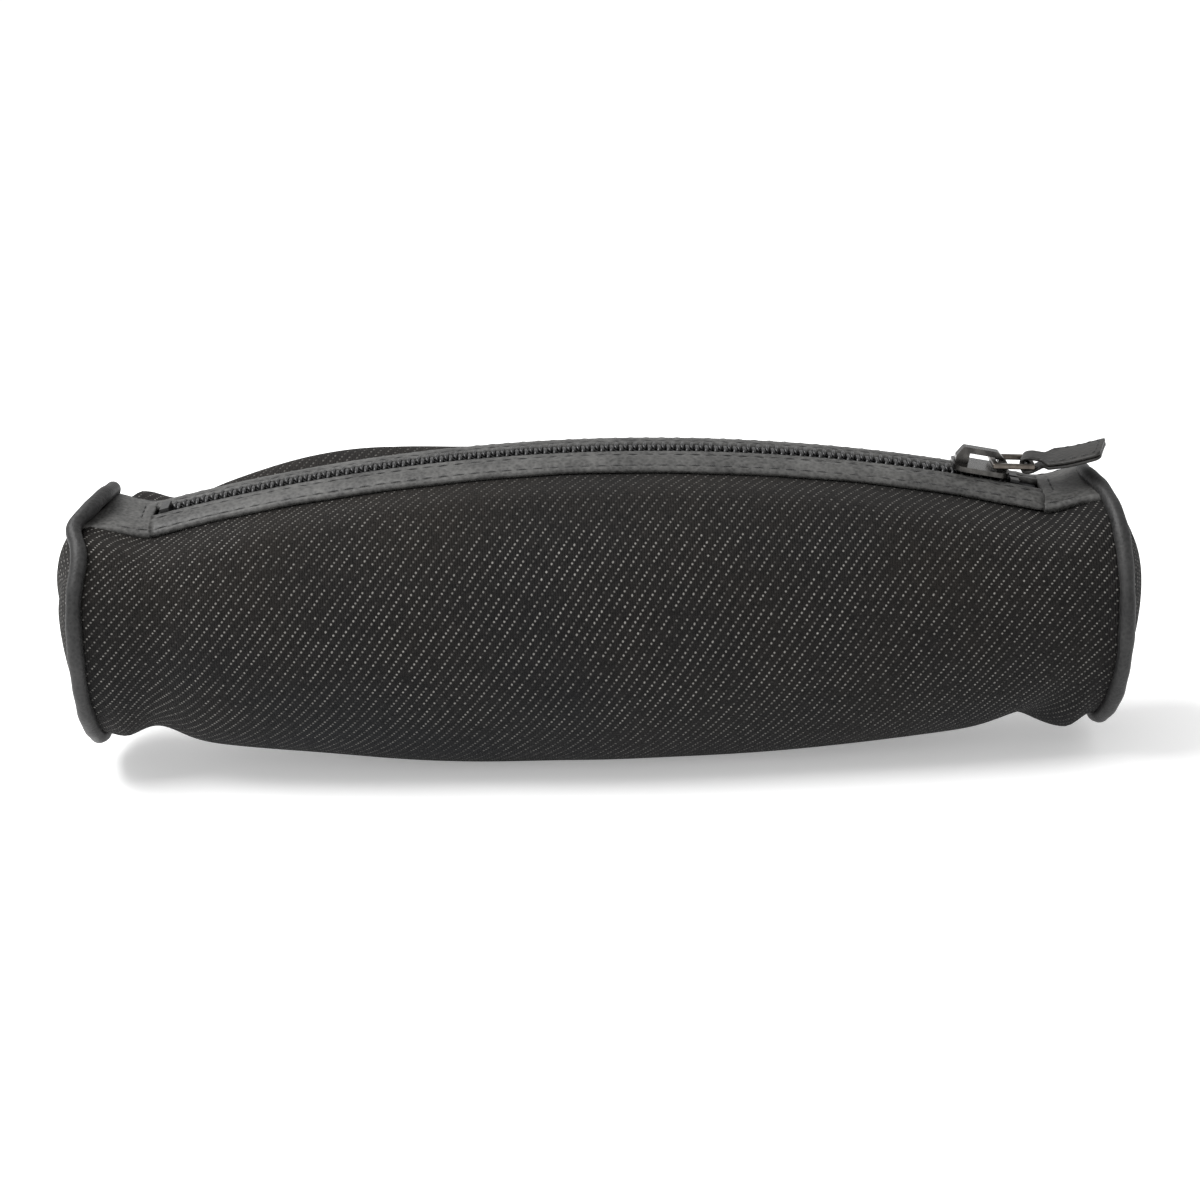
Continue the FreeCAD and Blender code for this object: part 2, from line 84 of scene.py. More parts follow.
def axis_height(x):
    """The stuffed tube isn't quite straight: one end sags and the other lifts."""
    return AXIS - 0.9 * (x / SEAM_X) ** 3


def seam_x(side, angle):
    """Distance from the middle to the piped seam, which the zip pulls inward at the top."""
    if side < 0:
        pull = 4.6 * bell(angle, math.radians(-12), math.radians(24))
        kink = 1.4 * bell(angle, math.radians(31), math.radians(7))
        kink = kink - 0.9 * bell(angle, math.radians(49), math.radians(10))
        low = 0.8 * bell(angle, math.radians(165), math.radians(30))
        return SEAM_X - pull + kink - low
    pull = 4.4 * bell(angle, math.radians(-10), math.radians(27))
    low = 2.6 * bell(angle, math.radians(168), math.radians(34))
    low = low + 2.6 * bell(angle, math.radians(-192), math.radians(34))
    return SEAM_X + 0.2 - pull - low


def seam_radius(angle):
    """The zip presses a shallow dent into the top of each piped seam."""
    return END_RADIUS - 2.3 * bell(angle, math.radians(6), math.radians(15))


def band_height(x, y=0.0, side=1):
    """Height above AXIS of the denim under the zip band, which rises at its ends to the seam."""
    ax = np.abs(x)
    arc = FLAT - (TRACK - np.sqrt(TRACK ** 2 - ax ** 2))
    angle = np.arctan2(-y, 20.0)
    end = seam_x(side, angle)
    ring = np.sqrt(seam_radius(angle) ** 2 - y ** 2) - 0.6
    at_end = FLAT - (TRACK - np.sqrt(TRACK ** 2 - end ** 2))
    t = np.clip((ax - BAND_END) / (end - BAND_END), 0, 1.3)
    return arc + (ring - at_end) * t ** 2 * (1.6 - 0.6 * t)


def barrel_radius(x, angle):
    ax = np.abs(x)
    barrel = BELLY - x ** 2 / (2 * BARREL)
    softness = 0.9
    high = np.maximum(barrel, END_RADIUS + 0.3)
    low = np.minimum(barrel, END_RADIUS + 0.3)
    radius = high + softness * np.log1p(np.exp((low - high) / softness))
    return radius - smooth((ax - 80) / 13) * (radius - seam_radius(wrap(angle)))


def dents(x, angle):
    """How far creases and slack press into the stuffed tube."""
    bottom = math.pi
    wrapped = np.mod(angle, TAU)
    # creases where the tube buckles against each round end
    left = 3.3 * bell(x, -80.5 + 3.0 * np.cos(wrapped), 4.2) * bell(wrapped, bottom - 0.35, 0.95)
    right_line = 74.5 + 13.0 * smooth((bottom - wrapped) / 1.5)
    right = 2.0 * bell(x, right_line, 3.8) * bell(wrapped, bottom - 0.35, 0.75)
    rear_left = 1.4 * bell(x, -77.0, 5.0) * bell(wrapped, 4.4, 0.5)
    rear_right = 1.6 * bell(x, 78.0, 4.5) * bell(wrapped, 4.1, 0.6)
    # long soft folds across the belly
    folds = (0.55 * bell(x + 22 * wrapped, 10, 9) + 0.5 * bell(x - 18 * wrapped, -60, 8)
              + 0.45 * bell(x + 30 * wrapped, 95, 10)) * bell(wrapped, 2.0, 0.8)
    return left + right + rear_left + rear_right + folds


def edge_drop(x, sign=1):
    """How far the denim's edge, under the facing's own edge, lies below the flattened top. The
    front of the band leans towards the viewer, and its rear lies flatter."""
    full = 1.45 if sign > 0 else 0.62
    return full - (full - 0.9) * smooth((np.abs(x) - BAND_END) / 8)


def edge_angle(x, sign=1):
    """Angle at which the denim slips under the leather facing."""
    return math.atan2(FACING_HALF - 0.6, float(band_height(x) - edge_drop(x, sign)))


def fullness(x, angle):
    """Slack denim that stands up behind the zip and bags down inside each round end."""
    turn = wrap(angle)
    return (4.2 * bell(x, -52, 19) * bell(turn, -0.62, 0.27)
            + 4.6 * bell(x, -84.0, 3.6) * bell(turn, -0.66, 0.28)
            - 1.2 * bell(x, -77.0, 3.0) * bell(turn, -0.6, 0.3)
            + 2.4 * bell(x, -87.5, 4.2) * bell(np.mod(angle, TAU), 2.85, 0.6)
            + 2.6 * bell(x, 85.5, 5.0) * bell(np.mod(angle, TAU), 2.75, 0.6))


def tube_point(u, angle, inset=0.0):
    """A point of the denim: u runs from -1 to 1 between the two seams."""
    side = np.where(u < 0, -1.0, 1.0)
    reach = np.where(u < 0, seam_x(-1, angle), seam_x(1, angle))
    flat = u * SEAM_X
    x = flat + side * (reach - SEAM_X) * smooth((np.abs(flat) - 62) / (SEAM_X - 62))
    radius = barrel_radius(flat, angle)
    level = band_height(x) - np.where(wrap(angle) > 0, edge_drop(x), edge_drop(x, -1))
    edge = np.arctan2(FACING_HALF - 0.6, level)
    edge_radius = np.hypot(FACING_HALF - 0.6, level)
    depth = radius - edge_radius
    fall = 5.0 + 2.2 * np.abs(depth)
    share = 1 - smooth((np.abs(wrap(angle)) - edge) * radius / fall)
    slack = fullness(x, angle) * (1 - share) - dents(x, angle)
    radius = radius - depth * share + slack * smooth((SEAM_X - np.abs(flat)) / 6) - inset
    height = AXIS + radius * np.cos(angle)
    centre = axis_height(x) - AXIS
    height = height + centre * smooth(np.abs(wrap(angle)) / 1.2)
    height = np.maximum(height, FLOOR_GAP + inset * 0.3)  # the belly lies flat on the floor
    return np.stack([x, -radius * np.sin(angle), height], -1)


def wrap(angle):
    return np.mod(angle + math.pi, TAU) - math.pi


# ---------------------------------------------------------------- mesh helpers


def new_object(name, vertices, faces, uvs=None):
    mesh = bpy.data.meshes.new(name)
    mesh.from_pydata([tuple(v) for v in np.asarray(vertices) * MM], [], faces)
    if uvs is not None:
        layer = mesh.uv_layers.new(name="cut")
        loops = np.zeros(len(mesh.loops), np.int64)
        mesh.loops.foreach_get("vertex_index", loops)
        layer.data.foreach_set("uv", np.asarray(uvs)[loops].astype(np.float32).ravel())
    mesh.polygons.foreach_set("use_smooth", [True] * len(mesh.polygons))
    mesh.validate()
    obj = bpy.data.objects.new(name, mesh)
    bpy.context.scene.collection.objects.link(obj)
    return obj


def grid_faces(rows, columns, start=0, flip=False, closed=False):
    faces = []
    for i in range(rows - 1):
        for j in range(columns if closed else columns - 1):
            k = (j + 1) % columns
            face = (start + i * columns + j, start + (i + 1) * columns + j,
                    start + (i + 1) * columns + k, start + i * columns + k)
            faces.append(face[::-1] if flip else face)
    return faces


def grid_normals(points):
    along = np.gradient(points, axis=0)
    across = np.gradient(points, axis=1)
    normal = np.cross(along, across)
    return normal / np.maximum(np.linalg.norm(normal, axis=-1, keepdims=True), 1e-9)


def shell_faces(rows, columns):
    """Faces of an outer grid, of an inner grid after it, and of the wall round both."""
    count = rows * columns
    faces = grid_faces(rows, columns) + grid_faces(rows, columns, count, flip=True)
    border = list(range(columns))
    border += [i * columns + columns - 1 for i in range(1, rows)]
    border += [(rows - 1) * columns + j for j in range(columns - 2, -1, -1)]
    border += [i * columns for i in range(rows - 2, 0, -1)]
    for a, b in zip(border, border[1:] + border[:1]):
        faces.append((a, b, b + count, a + count))
    return faces


def thick_sheet(name, points, thickness, uvs=None):
    """A closed sheet: the grid is its outer face, and its inner face lies thickness behind."""
    inner = points - grid_normals(points) * thickness
    vertices = np.concatenate([points.reshape(-1, 3), inner.reshape(-1, 3)])
    if uvs is not None:
        uvs = np.concatenate([uvs.reshape(-1, 2)] * 2)
    return new_object(name, vertices, shell_faces(*points.shape[:2]), uvs)


def tube_mesh(name, path, radius, sides, closed, up):
    """A round tube along a path. up points across the path at each of its points."""
    path = np.asarray(path, float)
    count = len(path)
    if closed:
        tangent = np.roll(path, -1, 0) - np.roll(path, 1, 0)
    else:
        tangent = np.gradient(path, axis=0)
    tangent /= np.linalg.norm(tangent, axis=1, keepdims=True)
    side = np.cross(tangent, up)
    side /= np.maximum(np.linalg.norm(side, axis=1, keepdims=True), 1e-9)
    up = np.cross(side, tangent)
    radius = np.broadcast_to(radius, (count,))
    vertices = []
    for k in range(sides):
        turn = TAU * k / sides
        vertices.append(path + radius[:, None] * (math.cos(turn) * side + math.sin(turn) * up))
    vertices = np.stack(vertices, 1).reshape(-1, 3)
    faces = grid_faces(count, sides, closed=True)
    if closed:
        for k in range(sides):
            a, b = (count - 1) * sides + k, (count - 1) * sides + (k + 1) % sides
            faces.append((a, k, (k + 1) % sides, b))
    else:
        faces.append(tuple(range(sides)))
        faces.append(tuple((count - 1) * sides + k for k in range(sides))[::-1])
    return new_object(name, vertices, faces)


def recalc(obj):
    mesh = bmesh.new()
    mesh.from_mesh(obj.data)
    bmesh.ops.recalc_face_normals(mesh, faces=mesh.faces)
    mesh.to_mesh(obj.data)
    mesh.free()
    return obj


# ---------------------------------------------------------------- placing pieces on bodies


def lens_blend(piece):
    """Bakes the piece's placement into its mesh and reads its vertex positions, which nothing uses."""
    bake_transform(piece)
    x = np.zeros(len(piece.data.vertices) * 3, np.float32)
    piece.data.vertices.foreach_get("co", x)


def finish_piece(piece, material, replaces=()):
    piece.data.materials.clear()
    piece.data.materials.append(material)
    if replaces:
        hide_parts(*replaces)


# ---------------------------------------------------------------- materials


class Nodes:
    """Short helpers to lay out one material's nodes."""

    def __init__(self, name):
        self.material = bpy.data.materials.new(name)
        self.material.use_nodes = True
        self.tree = self.material.node_tree
        self.shader = self.tree.nodes["Principled BSDF"]

    def link(self, source, target):
        self.tree.links.new(source, target)

    def math(self, operation, a, b=None, clamp=False):
        node = self.tree.nodes.new("ShaderNodeMath")
        node.operation = operation
        node.use_clamp = clamp
        for index, value in enumerate((a, b)):
            if value is None:
                continue
            if isinstance(value, (int, float)):
                node.inputs[index].default_value = value
            else:
                self.link(value, node.inputs[index])
        return node.outputs[0]

    def ramp(self, source, stops):
        node = self.tree.nodes.new("ShaderNodeValToRGB")
        elements = node.color_ramp.elements
        while len(elements) < len(stops):
            elements.new(0.5)
        for element, (position, colour) in zip(elements, stops):
            element.position = position
            element.color = (*colour, 1)
        self.link(source, node.inputs["Fac"])
        return node.outputs["Color"]

    def mix(self, factor, a, b):
        node = self.tree.nodes.new("ShaderNodeMix")
        node.data_type = "RGBA"
        for value, socket in ((factor, node.inputs[0]), (a, node.inputs[6]), (b, node.inputs[7])):
            if isinstance(value, (int, float)):
                socket.default_value = value
            elif isinstance(value, tuple):
                socket.default_value = (*value, 1)
            else:
                self.link(value, socket)
        return node.outputs[2]

    def noise(self, vector, scale, detail=2.0, roughness=0.5):
        node = self.tree.nodes.new("ShaderNodeTexNoise")
        node.inputs["Scale"].default_value = scale
        node.inputs["Detail"].default_value = detail
        node.inputs["Roughness"].default_value = roughness
        self.link(vector, node.inputs["Vector"])
        return node.outputs["Fac"]

    def bump(self, height, distance, strength):
        node = self.tree.nodes.new("ShaderNodeBump")
        node.inputs["Distance"].default_value = distance
        node.inputs["Strength"].default_value = strength
        self.link(height, node.inputs["Height"])
        return node.outputs["Normal"]

    def position(self):
        """Object coordinates in millimetres."""
        coordinates = self.tree.nodes.new("ShaderNodeTexCoord")
        scale = self.tree.nodes.new("ShaderNodeVectorMath")
        scale.operation = "SCALE"
        scale.inputs["Scale"].default_value = 1 / MM
        self.link(coordinates.outputs["Object"], scale.inputs[0])
        return scale.outputs["Vector"]


WARP, WEFT = 0.453, 0.61         # thread spacing along and round the tube


def denim_material(name):
    """3/1 twill: dark warp with a pale weft thread showing once in four, along a diagonal."""
    n = Nodes(name)
    uv = n.tree.nodes.new("ShaderNodeUVMap")
    uv.uv_map = "cut"
    split = n.tree.nodes.new("ShaderNodeSeparateXYZ")
    n.link(uv.outputs["UV"], split.inputs[0])
    place = n.position()
    wobble = n.noise(place, 0.35, 2.0)
    sway = n.math("MULTIPLY", n.math("SUBTRACT", wobble, 0.5), 0.9)
    u = n.math("ADD", n.math("DIVIDE", split.outputs["X"], WARP), sway)
    v = n.math("ADD", n.math("DIVIDE", split.outputs["Y"], WEFT), sway)
    column, row = n.math("FLOOR", u), n.math("FLOOR", v)
    across, along = n.math("FRACT", u), n.math("FRACT", v)
    diagonal = n.math("ADD", column, n.math("MULTIPLY", row, -1))
    step = n.math("MODULO", n.math("ADD", diagonal, 4000), 4)
    fleck = n.math("LESS_THAN", step, 0.5)
    cell = n.tree.nodes.new("ShaderNodeCombineXYZ")
    n.link(column, cell.inputs["X"])
    n.link(row, cell.inputs["Y"])
    chance = n.tree.nodes.new("ShaderNodeTexWhiteNoise")
    chance.noise_dimensions = "2D"
    n.link(cell.outputs["Vector"], chance.inputs["Vector"])
    du = n.math("ABSOLUTE", n.math("SUBTRACT", across, 0.5))
    dv = n.math("ABSOLUTE", n.math("SUBTRACT", along, 0.5))
    spot = n.math("SUBTRACT", 1.0, n.math("ADD", n.math("POWER", n.math("MULTIPLY", du, 1.95), 2.0),
                                          n.math("POWER", n.math("MULTIPLY", dv, 2.4), 2.0)))
    spot = n.math("MULTIPLY", n.math("MAXIMUM", spot, 0.0), fleck)
    wear = n.noise(place, 0.045, 3.0, 0.6)
    amount = n.math("MULTIPLY", n.math("POWER", chance.outputs["Value"], 0.8),
                    n.math("ADD", 0.25, n.math("MULTIPLY", wear, 1.15)))
    where = n.tree.nodes.new("ShaderNodeSeparateXYZ")
    n.link(place, where.inputs[0])
    height_share = n.math("DIVIDE", where.outputs["Z"], 2 * AXIS, clamp=True)
    # Painted shade: the pale flecks are dimmed by height alone, darker towards the bottom and just under
    # the facing's edge.
    painted_fleck_shade = n.ramp(height_share, ((0.0, (0.45,) * 3), (0.3, (0.8,) * 3), (0.62, (1.0,) * 3),
                                 (0.8, (0.85,) * 3), (0.93, (0.4,) * 3)))
    pale = n.math("MULTIPLY", n.math("MULTIPLY", spot, amount), painted_fleck_shade, clamp=True)
    shade = n.noise(place, 0.9, 3.0, 0.65)
    cool = n.ramp(shade, ((0.25, (0.0034, 0.0037, 0.0044)), (0.75, (0.0092, 0.0095, 0.0105))))
    warm = n.ramp(shade, ((0.25, (0.0055, 0.0048, 0.0042)), (0.75, (0.015, 0.0128, 0.011))))
    drift = n.noise(place, 0.028, 2.0)
    patches = n.math("MULTIPLY", n.math("SUBTRACT", drift, 0.5), 1.6)
    # Painted light: adding the height makes the denim lighter and warmer towards its top; the noise
    # patches are its own uneven tone.
    patches_and_painted_top_light = n.math("ADD", patches, height_share, clamp=True)
    dark = n.mix(patches_and_painted_top_light, cool, warm)
    colour = n.mix(pale, dark, (0.27, 0.262, 0.245))
    n.link(colour, n.shader.inputs["Base Color"])
    warp_height = n.math("SINE", n.math("MULTIPLY", across, math.pi))
    weft_height = n.math("SINE", n.math("MULTIPLY", along, math.pi))
    cloth = n.math("SUBTRACT", warp_height, n.math("MULTIPLY", fleck,
                                                  n.math("SUBTRACT", warp_height, weft_height)))
    fuzz = n.noise(place, 3.5, 2.0)
    height = n.math("ADD", cloth, n.math("MULTIPLY", fuzz, 0.6))
    n.link(n.bump(height, 0.00016, 0.8), n.shader.inputs["Normal"])
    n.shader.inputs["Roughness"].default_value = 0.88
    n.shader.inputs["Sheen Weight"].default_value = 0.03
    n.shader.inputs["Sheen Roughness"].default_value = 0.5
    n.shader.inputs["Specular IOR Level"].default_value = 0.12
    return n.material


def leather_material(name, dark, light, scale=1.35):
    """Fine pebbled leather with a dull shine and paler wear on raised places."""
    n = Nodes(name)
    place = n.position()
    pebble = n.tree.nodes.new("ShaderNodeTexVoronoi")
    pebble.inputs["Scale"].default_value = scale
    warped = n.tree.nodes.new("ShaderNodeVectorMath")
    warped.operation = "ADD"
    wander = n.tree.nodes.new("ShaderNodeTexNoise")
    wander.inputs["Scale"].default_value = 0.8
    n.link(place, wander.inputs["Vector"])
    n.link(place, warped.inputs[0])
    n.link(wander.outputs["Color"], warped.inputs[1])
    n.link(warped.outputs["Vector"], pebble.inputs["Vector"])
    cloud = n.noise(place, 0.11, 4.0, 0.6)
    fine = n.noise(place, 4.5, 2.0)
    tone = n.math("ADD", n.math("MULTIPLY", cloud, 0.75),
                  n.math("MULTIPLY", pebble.outputs["Distance"], 0.35))
    n.link(n.ramp(tone, ((0.3, dark), (0.75, light))), n.shader.inputs["Base Color"])
    height = n.math("ADD", pebble.outputs["Distance"], n.math("MULTIPLY", fine, 0.35))
    n.link(n.bump(height, 0.00007, 0.7), n.shader.inputs["Normal"])
    rough = n.math("ADD", 0.42, n.math("MULTIPLY", cloud, 0.2))
    n.link(rough, n.shader.inputs["Roughness"])
    n.shader.inputs["Specular IOR Level"].default_value = 0.32
    return n.material


def plain_weave(name, dark, light, spacing, rough=0.8):
    """Fine plain cloth from crossed sine threads in the row frame."""
    n = Nodes(name)
    place = n.position()
    split = n.tree.nodes.new("ShaderNodeSeparateXYZ")
    n.link(place, split.inputs[0])
    a = n.math("SINE", n.math("MULTIPLY", split.outputs["X"], TAU / spacing))
    depth = n.math("ADD", split.outputs["Y"], split.outputs["Z"])
    b = n.math("SINE", n.math("MULTIPLY", depth, TAU / spacing))
    cloth = n.math("MULTIPLY", a, b)
    cloud = n.noise(place, 0.2, 3.0)
    tone = n.math("ADD", n.math("MULTIPLY", cloth, 0.2), cloud)
    n.link(n.ramp(tone, ((0.3, dark), (0.75, light))), n.shader.inputs["Base Color"])
    n.link(n.bump(cloth, 0.00005, 0.6), n.shader.inputs["Normal"])
    n.shader.inputs["Roughness"].default_value = rough
    return n.material


def thread_material(name, dark, light):
    n = Nodes(name)
    place = n.position()
    wave = n.tree.nodes.new("ShaderNodeTexWave")
    wave.inputs["Scale"].default_value = 1.6
    wave.bands_direction = "DIAGONAL"
    n.link(place, wave.inputs["Vector"])
    n.link(n.ramp(wave.outputs["Fac"], ((0.1, dark), (0.9, light))), n.shader.inputs["Base Color"])
    n.link(n.bump(wave.outputs["Fac"], 0.00005, 0.8), n.shader.inputs["Normal"])
    n.shader.inputs["Roughness"].default_value = 0.6
    return n.material


def nylon_material():
    n = Nodes("coil_nylon")
    place = n.position()
    cloud = n.noise(place, 1.2, 2.0)
    n.link(n.ramp(cloud, ((0.2, (0.003, 0.003, 0.0033)), (0.8, (0.009, 0.009, 0.0095)))),
           n.shader.inputs["Base Color"])
    n.link(n.bump(n.noise(place, 6.0, 2.0), 0.00003, 0.5), n.shader.inputs["Normal"])
    n.link(n.math("ADD", 0.3, n.math("MULTIPLY", cloud, 0.16)), n.shader.inputs["Roughness"])
    return n.material


def metal_material(name, dark, light, rough):
    n = Nodes(name)
    place = n.position()
    cloud = n.noise(place, 0.5, 4.0, 0.65)
    scratch = n.noise(place, 7.0, 2.0)
    n.link(n.ramp(cloud, ((0.3, dark), (0.7, light))), n.shader.inputs["Base Color"])
    n.link(n.math("ADD", rough, n.math("MULTIPLY", scratch, 0.16)), n.shader.inputs["Roughness"])
    n.link(n.bump(scratch, 0.00001, 0.4), n.shader.inputs["Normal"])
    n.shader.inputs["Metallic"].default_value = 1.0
    return n.material


def pale_material(name, colour, rough):
    n = Nodes(name)
    place = n.position()
    cloud = n.noise(place, 0.01, 3.0)
    shade = tuple(c * 0.985 for c in colour)
    n.link(n.ramp(cloud, ((0.3, shade), (0.7, colour))), n.shader.inputs["Base Color"])
    n.shader.inputs["Roughness"].default_value = rough
    n.shader.inputs["Emission Color"].default_value = (1, 1, 1, 1)
    n.shader.inputs["Emission Strength"].default_value = 0.3
    return n.material


DENIM = denim_material("denim_twill")
LEATHER_MAT = leather_material("dark_leather", (0.013, 0.0128, 0.0125), (0.082, 0.081, 0.078))
# Painted shade: the piping is the same black leather as the facing, coloured darker so that its ring reads
# as shaded against the floor's light from below.
PIPING_SHADED_MAT = leather_material("piping_leather_painted_shade", (0.0055, 0.0055, 0.0057), (0.026, 0.0257, 0.0255), 1.6)
TAB_MAT = leather_material("tab_leather", (0.006, 0.0057, 0.0054), (0.022, 0.0207, 0.019), 1.2)
LINING = plain_weave("lining_cloth", (0.012, 0.012, 0.013), (0.03, 0.03, 0.032), 0.36, 0.6)
TAPE = plain_weave("zip_tape_cloth", (0.006, 0.006, 0.007), (0.016, 0.016, 0.017), 0.5)
THREAD = thread_material("stitch_thread", (0.008, 0.008, 0.0085), (0.035, 0.035, 0.035))
BOARD = plain_weave("end_board", (0.2, 0.19, 0.18), (0.28, 0.27, 0.25), 0.8)
CORD = thread_material("piping_cord_cotton", (0.3, 0.28, 0.25), (0.5, 0.47, 0.42))
NYLON = nylon_material()
GUNMETAL = metal_material("gunmetal", (0.028, 0.027, 0.026), (0.085, 0.082, 0.077), 0.18)
BRONZE = metal_material("ring_gunmetal", (0.06, 0.052, 0.045), (0.16, 0.142, 0.124), 0.22)

# ---------------------------------------------------------------- denim tube

LAST_EDGE = 89.0                 # the facing's edge is followed up to here, near the seam
COLUMNS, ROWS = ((196, 92))


def denim_grid(sign):
    """Half of the tube, from under the facing down to the middle of the floor."""
    u = np.linspace(-1, 1, COLUMNS)[:, None]
    x_flat = (u * SEAM_X)[:, 0]
    edges = np.array([edge_angle(x, sign) for x in np.clip(x_flat, -LAST_EDGE, LAST_EDGE)])
    edges = edges[:, None]
    share = np.linspace(0, 1, ROWS)[None, :]
    angle = edges * (1 - share) + math.pi * share
    u = np.broadcast_to(u, angle.shape)
    points = tube_point(u, sign * angle)
    uv = np.stack([u * SEAM_X, sign * -angle * 27.0], -1)
    return points, uv


def make_denim(sign, name, node):
    points, uv = denim_grid(sign)
    if sign > 0:
        points, uv = points[::-1], uv[::-1]
    piece = thick_sheet(name, points, 1.0, uv)
    finish_piece(piece, DENIM, [node])
    return piece


def make_lining(sign, name, node):
    u = np.linspace(-0.985, 0.985, 120)[:, None]
    edges = np.array([edge_angle(x, sign) for x in np.clip(u[:, 0] * SEAM_X, -LAST_EDGE, LAST_EDGE)])
    edges = edges[:, None]
    share = np.linspace(0, 1, 60)[None, :]
    angle = edges * (1 - share) + math.pi * share
    points = tube_point(np.broadcast_to(u, angle.shape), sign * angle, 1.25)
    points = points if sign < 0 else points[::-1]
    piece = thick_sheet(name, points, 0.35)
    finish_piece(piece, LINING, [node])
    return piece


front_denim = make_denim(1, "front_denim_panel", "denim_front")
rear_denim = make_denim(-1, "rear_denim_panel", "denim_rear")
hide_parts("denim_base")
front_lining = make_lining(1, "front_lining_panel", "lining_front")
rear_lining = make_lining(-1, "rear_lining_panel", "lining_rear")
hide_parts("lining_base")


# ---------------------------------------------------------------- round ends


def seam_point(side, angle, radius=END_RADIUS, out=0.0):
    """A point of the piped seam. The pull tab's end presses the top of the right one down."""
    if side > 0:
        radius -= 1.9 * float(bell(wrap(angle), 0.0, math.radians(24)))
    x = side * (seam_x(side, wrap(angle)) + out)
    centre = float(axis_height(side * SEAM_X)) - AXIS
    height = AXIS + radius * math.cos(angle)
    height += centre * float(smooth(abs(wrap(angle)) / 1.2))
    return (x, -radius * math.sin(angle), height)


def make_piping(side, name, node):
    count = 180
    path, radius, outward = [], [], []
    for k in range(count):
        angle = TAU * k / count
        path.append(seam_point(side, angle, END_RADIUS + 0.5, 0.9))
        radius.append(1.45 + 0.07 * math.sin(9 * angle) + 0.05 * math.sin(23 * angle + 1))
        outward.append((0.0, -math.sin(angle), math.cos(angle)))
    ring = tube_mesh(name, path, np.array(radius), 18, True, np.array(outward))
    finish_piece(recalc(ring), PIPING_SHADED_MAT, [node])
    return ring


def make_cord(side, name, node):
    path = [seam_point(side, TAU * k / 120, END_RADIUS + 0.5, 0.9) for k in range(120)]
    up = [(0.0, -math.sin(TAU * k / 120), math.cos(TAU * k / 120)) for k in range(120)]
    cord = tube_mesh(name, path, 0.8, 10, True, np.array(up))
    finish_piece(recalc(cord), CORD, [node])
    return cord


def make_binding(side, name, node):
    """Cloth tape folded over the seam's raw edges, inside the case."""
    ends = (0.945, 0.98) if side > 0 else (-0.98, -0.945)
    u = np.linspace(*ends, 6)[:, None]
    angle = np.linspace(0.5, TAU - 0.5, 120)[None, :]
    points = tube_point(np.broadcast_to(u, (6, 120)), np.broadcast_to(angle, (6, 120)), 1.8)
    piece = recalc(thick_sheet(name, points[::-1], 0.5))
    finish_piece(piece, LINING, [node])
    return piece


def make_cap(side, name, node, material, inset=0.0, thickness=0.9, dome_share=1.0):
    """The stuffed end panel domes outward, fullest above its middle."""
    rings, spokes = (40, 120) if inset == 0.0 else (14, 60)
    points = np.zeros((rings, spokes, 3))
    for i in range(rings):
        share = (i + 0.5) / rings
        for k in range(spokes):
            angle = TAU * k / spokes
            rim = np.array(seam_point(side, angle, END_RADIUS - 0.2 - inset, 0.9 - inset))
            middle = np.array([side * (SEAM_X + 0.6 - inset), 0.0, AXIS])
            flat = middle * (1 - share) + rim * share
            lift = (flat[2] - AXIS) / END_RADIUS
            dome = 5.6 * dome_share * (1 - share ** 2) ** 0.8 * (1 + 0.3 * lift)
            pucker = 0.12 * share ** 4 * math.sin(26 * angle + 2 * math.sin(3 * angle))
            points[i, k] = flat + np.array([side * (dome + pucker), 0, 0])
    vertices = points.reshape(-1, 3)
    inner = vertices - np.array([side * thickness, 0, 0])
    count = len(vertices)
    faces = grid_faces(rings, spokes, closed=True) + grid_faces(rings, spokes, count, True, True)
    faces.append(tuple(range(spokes)))
    faces.append(tuple(count + k for k in range(spokes))[::-1])
    last = (rings - 1) * spokes
    for k in range(spokes):
        j = (k + 1) % spokes
        faces.append((last + k, last + j, last + j + count, last + k + count))
    uv = np.stack([vertices[:, 1], vertices[:, 2]], -1)
    cap = new_object(name, np.concatenate([vertices, inner]), faces, np.concatenate([uv, uv]))
    finish_piece(recalc(cap), material, [node])
    return cap


for side, label in ((-1, "left"), (1, "right")):
    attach(make_piping(side, f"{label}_piping", f"{label}_piping_cover"), "base")
    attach(make_cord(side, f"{label}_cord", f"{label}_piping_cord"), "base")
    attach(make_binding(side, f"{label}_binding", f"{label}_seam_binding"), "base")
    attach(make_cap(side, f"{label}_end_denim", f"{label}_end_panel", DENIM), "base")
    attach(make_cap(side, f"{label}_board", f"{label}_end_stiffener", BOARD,
                     1.1, 0.7, 0.85), "base")
    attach(make_cap(side, f"{label}_disc_lining", f"{label}_end_lining", LINING,
                     2.0, 0.3, 0.8), "base")


# ---------------------------------------------------------------- zip band


def band_point(x, y, level):
    """A point of the band: level is its height above the flattened top, which curves down
    sideways with the belly."""
    ax = abs(x)
    slope = x / TRACK if ax <= BAND_END else math.copysign(BAND_END / TRACK, x)
    bend = (1.55 if y < 0 else 0.6) * (max(0.0, abs(y) - WINDOW_HALF) / (FACING_HALF - WINDOW_HALF)) ** 1.6
    height = AXIS + float(band_height(x, y, -1 if x < 0 else 1))
    flatten = 1 - float(smooth((ax - BAND_END) / 8))
    lift = level - bend * flatten
    angle = math.asin(slope)
    return (x + lift * math.sin(angle), y, height + lift * math.cos(angle))


def facing_profile(inner, outer):
    """The leather strip's section: a folded inner edge, two sunk seams and a cut outer edge."""
    low, high = 0.15, LEATHER
    width = outer - inner
    top = []
    for share in np.linspace(0, 1, 23):
        edge = min(share, 1 - share) * width
        round_off = 0.45 * (1 - min(1.0, edge / 0.5)) ** 2
        y = inner + share * width
        seam = 0.16 * (bell(y, 4.65, 0.35) + bell(y, 8.45, 0.3))
        puff = 0.12 * math.sin(math.pi * min(1.0, max(0.0, (y - 4.65) / 3.8)))
        top.append((y, high - round_off - seam + puff))
    bottom = [(outer - 0.1, low), (inner + 0.1, low)]
    return top + bottom


